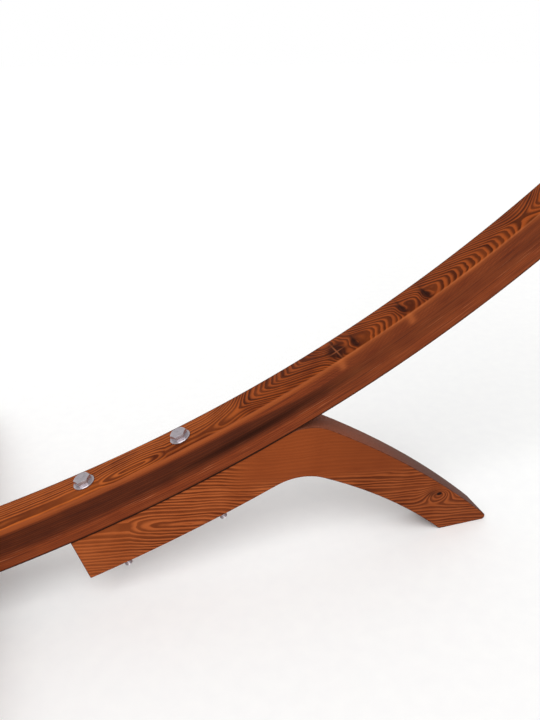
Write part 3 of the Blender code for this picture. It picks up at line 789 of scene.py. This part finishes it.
def rounded_corner(before, corner, after, radius, steps=6):
    """Points of the arc that replaces a corner."""
    into = (before - corner).normalized()
    out = (after - corner).normalized()
    half = into.angle(out) / 2.0
    reach = radius / math.tan(half)
    middle = corner + (into + out).normalized() * radius / math.sin(half)
    first = (corner + into * reach - middle).normalized()
    last = (corner + out * reach - middle).normalized()
    return [middle + radius * first.slerp(last, step / steps) for step in range(steps + 1)]


def foot_outline():
    """Right-hand boomerang foot: along the beam, over the shoulder, to the toe and back."""
    top = [polar(UNDERSIDE + GAP, angle) for angle in stations(FOOT_START, FOOT_LEAVES_BEAM)]
    along = bend(top, FOOT_LEAVES_BEAM, SHOULDER_RADIUS, SHOULDER_TURN, steps=14)
    turn = turn_to_floor(top[-1], along, SHIN_TOP_RADIUS)
    bend(top, along, SHIN_TOP_RADIUS, turn, steps=12)
    under = [polar(UNDERSIDE + FOOT_DEPTH, angle)
             for angle in stations(FOOT_START, FOOT_BEND_START)]
    along = bend(under, FOOT_BEND_START, CROTCH_RADIUS, CROTCH_TURN, steps=12)
    turn = turn_to_floor(under[-1], along, SHIN_UNDER_RADIUS)
    bend(under, along, SHIN_UNDER_RADIUS, turn, steps=12)
    toe = rounded_corner(top[-2], top[-1], under[-1], TOE_ROUND)
    return top[:-1] + toe + under[::-1]


def plate(name, outline, across, thickness):
    """Board of an outline, thick along the unit vector across, centred on the outline."""
    half = across * thickness / 2.0
    return loft(name, [[point - half for point in outline], [point + half for point in outline]])


def make_boomerang_feet():
    outline = foot_outline()
    depth = BEAM_HEIGHT + FOOT_DEPTH
    for side, label in SIDE_NAMES:
        name = "boomerang_board_" + label
        mirrored = [Vector((side * point.x, point.y, point.z)) for point in outline]
        steps = []
        for index, angle in enumerate(FOOT_BOLT_ANGLES, 1):
            place = radial_frame(ARC_RADIUS, side * angle)
            steps.append(drill(place, BOLT_RADIUS + GAP, 0.0, depth + DRILL_MARGIN))
            bolt_set("foot", "_%s_%d" % (label, index), place, depth, FOOT_BOLT_END)
        mesh = carve(name, plate(name, mirrored, Vector((0, 1, 0)), FOOT_WIDTH), steps, FOOT_EDGE)
        if side == 1:
            finish = board_material(name, 'X', mirror=1.0, tilt=9.5, nest=(0.785, 0.111),
                                    knot=(1.204, 0.073), plain=(0.84, 1.12, 0.238))
        else:
            finish = board_material(name, 'X', mirror=-1.0, tilt=12.0, nest=(0.905, 0.170),
                                    knot=(0.722, 0.098), plain=(1.12, 1.20, 0.160))
        shown(name, mesh, finish, "boomerang_foot_" + label)


# ---------------------------------------------------------------- cross feet
def arch(half_span, low, high, steps):
    """Points of a shallow arch in the plane X = 0, from -half_span to +half_span."""
    rise = high - low
    radius = (half_span ** 2 + rise ** 2) / (2.0 * rise)
    reach = math.asin(half_span / radius)
    points = []
    for step in range(steps + 1):
        angle = reach * (2.0 * step / steps - 1.0)
        points.append(Vector((0.0, radius * math.sin(angle),
                              high - radius + radius * math.cos(angle))))
    return points


def cross_outline():
    half = CROSS_SPAN / 2.0
    top = arch(half, CROSS_TOE_HEIGHT, CROSS_CROWN, steps=36)
    under = arch(half - SOLE_LENGTH, 0.0, CROSS_CLEARANCE, steps=30)
    toe = Vector((0.0, half, 0.0))
    far_toe = Vector((0.0, -half, 0.0))
    outline = rounded_corner(far_toe, top[0], top[1], CROSS_TOE_ROUND)
    outline += top[1:-1]
    outline += rounded_corner(top[-2], top[-1], toe, CROSS_TOE_ROUND)
    outline += rounded_corner(top[-1], toe, under[-1], CROSS_TOE_ROUND)
    outline += under[::-1]
    outline += rounded_corner(under[0], far_toe, top[0], CROSS_TOE_ROUND)
    return outline


def make_cross_feet():
    outline = cross_outline()
    depth = BEAM_HEIGHT + CROSS_SEAT
    seat_angle = math.degrees(math.asin(CROSS_X / UNDERSIDE))
    for side, label in SIDE_NAMES:
        name = "cross_board_" + label
        shifted = [point + Vector((side * CROSS_X, 0, 0)) for point in outline]
        place = radial_frame(ARC_RADIUS, side * seat_angle)
        notch_angles = [side * angle for angle in stations(*NOTCH_ANGLES)]
        notch = loft("notch", [beam_section(angle, grow=GAP) for angle in notch_angles])
        steps = [(notch, 'DIFFERENCE'),
                 drill(place, BOLT_RADIUS + GAP, 0.0, depth + DRILL_MARGIN),
                 drill(place, RECESS_RADIUS, depth, depth + RECESS_CUT)]
        mesh = carve(name, plate(name, shifted, Vector((1, 0, 0)), CROSS_THICKNESS), steps,
                     CROSS_EDGE)
        finish = board_material(name, 'Y', mirror=float(side), tilt=3.0, nest=(-0.27, 0.066),
                                knot=(0.345, 0.052), plain=(-0.14, 0.05, 0.060))
        shown(name, mesh, finish, "cross_foot_" + label)
        bolt_set("cross", "_" + label, place, depth, CROSS_BOLT_END)


# ---------------------------------------------------------------- bolts, washers and nuts
def bolt_mesh(name, place, end):
    """Hex bolt into the place's Z with a chamfered head and a cut thread."""
    bearing = -FACE_LIFT - WASHER_THICKNESS
    top = bearing - HEAD_HEIGHT
    chamfer = BOLT_RADIUS * THREAD_CHAMFER
    rings = [round_ring(place, CHAMFER_START * HEAD_FLATS * HEAD_CENTRE, top),
             round_ring(place, CHAMFER_START * HEAD_FLATS, top),
             hex_ring(place, HEAD_FLATS, top, 1.0),
             hex_ring(place, HEAD_FLATS, bearing),
             round_ring(place, BOLT_RADIUS, bearing)]
    rings += thread_rings(place, BOLT_RADIUS, BOLT_PITCH, end - THREAD_LENGTH, end - chamfer)
    rings += [round_ring(place, BOLT_RADIUS * THREAD_TIP, end)]
    return loft(name, rings)


def nut_mesh(name, place, flats, hole, low, height):
    """Hex nut with chamfered faces and a widened mouth to its hole."""
    high = low + height
    face = CHAMFER_START * flats
    mouth = hole * HOLE_MOUTH
    rings = [round_ring(place, face, low), hex_ring(place, flats, low, 1.0),
             hex_ring(place, flats, high, -1.0), round_ring(place, face, high),
             round_ring(place, mouth, high), round_ring(place, hole, high - hole * MOUTH_DEPTH),
             round_ring(place, hole, low + hole * MOUTH_DEPTH), round_ring(place, mouth, low)]
    return loft(name, rings, closed=True)


def washer_mesh(name, place, radius, hole, low, thickness):
    """Washer with the rolled edge of a stamping."""
    high = low + thickness
    roll = thickness * WASHER_ROLL
    sides = 2 * SIDES
    profile = ((radius - roll, low), (radius, low + roll), (radius, high - roll),
               (radius - roll, high), (hole + roll / 2.0, high), (hole, high - roll / 2.0),
               (hole, low + roll / 2.0), (hole + roll / 2.0, low))
    return loft(name, [round_ring(place, reach, height, sides) for reach, height in profile],
                closed=True)


def bolt_set(kind, suffix, place, depth, end):
    """Bolt, two washers and a nut through timber of a depth along the place's Z."""
    hole = BOLT_RADIUS + GAP
    bolt = kind + "_bolt" + suffix
    shown("threaded_" + bolt, bolt_mesh(bolt, place, depth + end), zinc, bolt)
    for level, low in (("upper", -FACE_LIFT - WASHER_THICKNESS), ("lower", depth + GAP)):
        washer = "%s_washer_%s%s" % (kind, level, suffix)
        mesh = washer_mesh(washer, place, WASHER_RADIUS, hole, low, WASHER_THICKNESS)
        shown("stamped_" + washer, mesh, zinc, washer)
    nut = kind + "_nut" + suffix
    low = depth + 2.0 * GAP + WASHER_THICKNESS
    shown("chamfered_" + nut, nut_mesh(nut, place, HEAD_FLATS, hole, low, NUT_HEIGHT), zinc, nut)


def make_lap_bolts():
    for index, angle in enumerate((-LAP_BOLT_ANGLE, LAP_BOLT_ANGLE), 1):
        place = radial_frame(ARC_RADIUS, angle)
        bolt_set("lap", "_%d" % index, place, BEAM_HEIGHT, LAP_BOLT_END)


# ---------------------------------------------------------------- eye bolts
def ring_mesh(name, place, radius, wire):
    """Ring in the place's XZ plane about its origin."""
    rings = []
    for segment in range(RING_SEGMENTS):
        angle = 2.0 * math.pi * segment / RING_SEGMENTS
        outwards = Vector((math.cos(angle), 0.0, math.sin(angle)))
        ring = []
        for step in range(WIRE_SIDES):
            around = 2.0 * math.pi * step / WIRE_SIDES
            spot = outwards * (radius + wire * math.cos(around))
            spot.y = wire * math.sin(around)
            ring.append(place @ spot)
        rings.append(ring)
    return loft(name, rings, closed=True)


def make_eye_bolts():
    hole = EYE_BOLT_RADIUS + GAP
    thickness = EYE_WASHER_THICKNESS
    for side, label in SIDE_NAMES:
        place = radial_frame(ARC_RADIUS, side * EYE_ANGLE)
        ring_place = place @ Matrix.Translation((0, 0, -EYE_STANDOFF))
        end = BEAM_HEIGHT + EYE_BOLT_END
        chamfer = EYE_BOLT_RADIUS * THREAD_CHAMFER
        thread_start = -FACE_LIFT - thickness - EYE_NUT_HEIGHT - EYE_THREAD_START
        rings = [round_ring(place, EYE_BOLT_RADIUS, EYE_RING_RADIUS - EYE_STANDOFF)]
        rings += thread_rings(place, EYE_BOLT_RADIUS, EYE_PITCH, thread_start, end - chamfer)
        rings += [round_ring(place, EYE_BOLT_RADIUS * THREAD_TIP, end)]
        name = "forged_eye_" + label
        mesh = carve(name, ring_mesh(name, ring_place, EYE_RING_RADIUS, EYE_WIRE),
                     [(loft("shank", rings), 'UNION')])
        shown(name, mesh, steel, "eye_bolt_" + label, sharp=50.0)
        seats = (("upper", -FACE_LIFT - thickness, -FACE_LIFT - thickness - EYE_NUT_HEIGHT),
                 ("lower", BEAM_HEIGHT + GAP, BEAM_HEIGHT + 2.0 * GAP + thickness))
        for level, washer_low, nut_low in seats:
            washer = "eye_washer_%s_%s" % (level, label)
            mesh = washer_mesh(washer, place, EYE_WASHER_RADIUS, hole, washer_low, thickness)
            shown("stamped_" + washer, mesh, zinc, washer)
            nut = "eye_nut_%s_%s" % (level, label)
            mesh = nut_mesh(nut, place, EYE_NUT_FLATS, hole, nut_low, EYE_NUT_HEIGHT)
            shown("chamfered_" + nut, mesh, zinc, nut)


# ---------------------------------------------------------------- snap hooks
# In a hook's own frame the origin is the eye's centre, and the gate's line runs down the
# -Y side from the pin to the nose.
HOOK_TOP = Vector((0.0, 0.0, -(EYE_RING_RADIUS - EYE_WIRE - HOOK_WIRE - HOOK_PLAY)
                   - HOOK_TOP_RADIUS))
BEND_DISTANCE = HOOK_LENGTH - 2.0 * HOOK_WIRE - HOOK_TOP_RADIUS - HOOK_BOTTOM_RADIUS
HOOK_BOTTOM = HOOK_TOP - Vector((0.0, 0.0, BEND_DISTANCE))
SPLAY = math.asin((HOOK_BOTTOM_RADIUS - HOOK_TOP_RADIUS) / BEND_DISTANCE)
GATE_OUTWARDS = Vector((0.0, -math.cos(SPLAY), math.sin(SPLAY)))
PIN_POINT = HOOK_TOP + HOOK_TOP_RADIUS * GATE_OUTWARDS
NOSE_POINT = HOOK_BOTTOM + HOOK_BOTTOM_RADIUS * GATE_OUTWARDS
GATE_SPAN = (NOSE_POINT - PIN_POINT).length


def gate_frame(centre):
    """Frame at the pin: Z runs down the gate to the nose, Y outwards, X along the pin."""
    down = (NOSE_POINT - PIN_POINT).normalized()
    pin = GATE_OUTWARDS.cross(down)
    turn = Matrix((pin, GATE_OUTWARDS, down)).transposed().to_4x4()
    return Matrix.Translation(centre + PIN_POINT) @ turn


def hook_path():
    """Centre line and outward directions of the wire, from the hinge round to the latch."""
    gate = math.pi - SPLAY
    first = gate - math.radians(HINGE_CLEAR_ANGLE)
    last = gate - 2.0 * math.pi
    bends = ((HOOK_TOP, HOOK_TOP_RADIUS, first, SPLAY, 20),
             (HOOK_BOTTOM, HOOK_BOTTOM_RADIUS, SPLAY, last, 28))
    path = []
    for centre, radius, start, end, steps in bends:
        for step in range(steps + 1):
            angle = start + (end - start) * step / steps
            away = Vector((0.0, math.cos(angle), math.sin(angle)))
            path.append((centre + radius * away, away))
    down = (NOSE_POINT - PIN_POINT).normalized()
    path.append((NOSE_POINT - down * LATCH_LAP, GATE_OUTWARDS))
    return path


def wire_mesh(name, centre, path, radius):
    """Round wire along a path in a plane of constant X."""
    rings = []
    for point, away in path:
        ring = []
        for step in range(WIRE_SIDES):
            around = 2.0 * math.pi * (step + 0.5) / WIRE_SIDES
            ring.append(centre + point + away * radius * math.cos(around)
                        + Vector((radius * math.sin(around), 0.0, 0.0)))
        rings.append(ring)
    return loft(name, rings)


def make_hook_body(label, centre):
    place = gate_frame(centre)
    across = place @ Matrix.Rotation(math.radians(90), 4, 'Y')
    lean = Matrix.Rotation(math.radians(-HINGE_CLEAR_ANGLE / 2.0), 4, 'X')
    half = TONGUE_THICKNESS / 2.0
    neck_half = half * NECK_FIT
    neck_reach = TONGUE_RADIUS * NECK_WIDTH
    steps = [(block("nose_cut", place, (-HOOK_CUT, -HOOK_CUT, GATE_SPAN - HOOK_CUT),
                    (HOOK_CUT, LATCH_GAP / 2.0, GATE_SPAN)), 'DIFFERENCE'),
             (cylinder("tongue", across, TONGUE_RADIUS, -half, half), 'UNION'),
             (block("neck", place @ lean, (-neck_half, -neck_reach, -NECK_LENGTH),
                    (neck_half, neck_reach, 0.0)), 'UNION'),
             drill(across, GATE_PIN_RADIUS + GAP, -HOOK_CUT, HOOK_CUT)]
    name = "snap_hook_" + label
    mesh = carve(name, wire_mesh(name, centre, hook_path(), HOOK_WIRE), steps)
    shown(name, mesh, steel, "hook_body_" + label)


def make_gate(label, centre):
    place = gate_frame(centre)
    across = place @ Matrix.Rotation(math.radians(90), 4, 'Y')
    rings = []
    for turn in (85, 70, 55, 40, 25, 12, 0):
        angle = math.radians(turn)
        rings.append(round_ring(place, HOOK_WIRE * math.cos(angle), -HOOK_WIRE * math.sin(angle)))
    rings.append(round_ring(place, HOOK_WIRE, GATE_SPAN - LATCH_GAP))
    lap_start = GATE_SPAN - LATCH_LAP - LATCH_GAP
    steps = [(block("slot", place, (-SLOT_WIDTH / 2.0, -HOOK_CUT, -HOOK_CUT),
                    (SLOT_WIDTH / 2.0, HOOK_CUT, SLOT_FLOOR)), 'DIFFERENCE'),
             (block("lap", place, (-HOOK_CUT, -LATCH_GAP / 2.0, lap_start),
                    (HOOK_CUT, HOOK_CUT, GATE_SPAN + HOOK_CUT)), 'DIFFERENCE'),
             drill(place, SPRING_BORE, SLOT_FLOOR - BORE_OVERRUN,
                   SLOT_FLOOR + SPRING_LENGTH + BORE_OVERRUN),
             drill(across, GATE_PIN_RADIUS + GAP, -HOOK_CUT, HOOK_CUT)]
    name = "sprung_gate_" + label
    shown(name, carve(name, loft(name, rings), steps), steel, "hook_gate_" + label)


def make_snap_hooks():
    """Hook and gate at each swing joint; the CAD's own pin and spring get a finish."""
    for joint in frame["joints"]:
        if joint["name"].startswith("hook_swing_"):
            label = joint["name"].removeprefix("hook_swing_")
            centre = Vector(joint["pos_m"])
            make_hook_body(label, centre)
            make_gate(label, centre)
            for kept, finish in (("gate_pin_", zinc), ("gate_spring_", steel)):
                held = frame["nodes"][kept + label]
                held.data.materials.clear()
                held.data.materials.append(finish)


# ---------------------------------------------------------------- studio
def plain_floor():
    made, tree, shader = new_material("studio_floor")
    (x, y, z), _ = own_coordinates(tree)
    grain = noise(tree, vector(tree, x, y, z), 40.0, 4.0)
    tint = blend(tree, grain.ramp(-1.0, 1.0), (246, 246, 246), (250, 250, 249))
    tree.links.new(tint.socket, shader.inputs["Base Color"])
    shader.inputs["Roughness"].default_value = 0.9
    shader.inputs["Specular IOR Level"].default_value = 0.1
    corners = [(x * FLOOR_REACH, y * FLOOR_REACH, 0.0)
               for x, y in ((-1, -1), (1, -1), (1, 1), (-1, 1))]
    mesh = mesh_from("studio_floor", corners, [[0, 1, 2, 3]])
    mesh.materials.append(made)
    floor = bpy.data.objects.new("studio_floor", mesh)
    bpy.context.scene.collection.objects.link(floor)


def soft_sun():
    """Broad key light from the upper left in front, the same all over the floor."""
    data = bpy.data.lights.new("key", 'SUN')
    data.energy = KEY_STRENGTH
    data.angle = math.radians(KEY_SPREAD)
    light = bpy.data.objects.new("key", data)
    light.rotation_euler = Vector(KEY_HEADING).to_track_quat('-Z', 'Y').to_euler()
    bpy.context.scene.collection.objects.link(light)


def studio_world():
    """Even pale surround, seen white by the camera."""
    world = bpy.data.worlds.new("studio")
    bpy.context.scene.world = world
    world.use_nodes = True
    tree = world.node_tree
    tree.nodes.clear()
    output = tree.nodes.new("ShaderNodeOutputWorld")
    mix = tree.nodes.new("ShaderNodeMixShader")
    path = tree.nodes.new("ShaderNodeLightPath")
    tree.links.new(path.outputs["Is Camera Ray"], mix.inputs[0])
    for index, strength in ((1, WORLD_STRENGTH), (2, 1.0)):
        sky = tree.nodes.new("ShaderNodeBackground")
        sky.inputs["Strength"].default_value = strength
        tree.links.new(sky.outputs[0], mix.inputs[index])
        sky.inputs["Color"].default_value = (1.0, 1.0, 1.0, 1.0)
    tree.links.new(mix.outputs[0], output.inputs[0])


def make_camera():
    data = bpy.data.cameras.new("camera")
    data.sensor_width = SENSOR_WIDTH
    data.lens = CAMERA_LENS
    data.clip_start = 0.05
    data.clip_end = 100.0
    camera = bpy.data.objects.new("camera", data)
    camera.location = CAMERA_PLACE
    camera.rotation_euler = (math.radians(90.0 - CAMERA_DROP), 0.0, math.radians(-CAMERA_TURN))
    bpy.context.scene.collection.objects.link(camera)
    bpy.context.scene.camera = camera


zinc = metal_material("zinc_plate", (196, 188, 194), roughness=0.30, blotch=0.75, metallic=0.72)
steel = metal_material("bright_steel", (214, 214, 218), roughness=0.24, blotch=0.35, metallic=1.0)

make_camera()
make_beams()
make_lap_bolts()
make_boomerang_feet()
make_cross_feet()
make_eye_bolts()
make_snap_hooks()
plain_floor()
studio_world()
soft_sun()
bpy.context.scene.view_settings.view_transform = 'Standard'
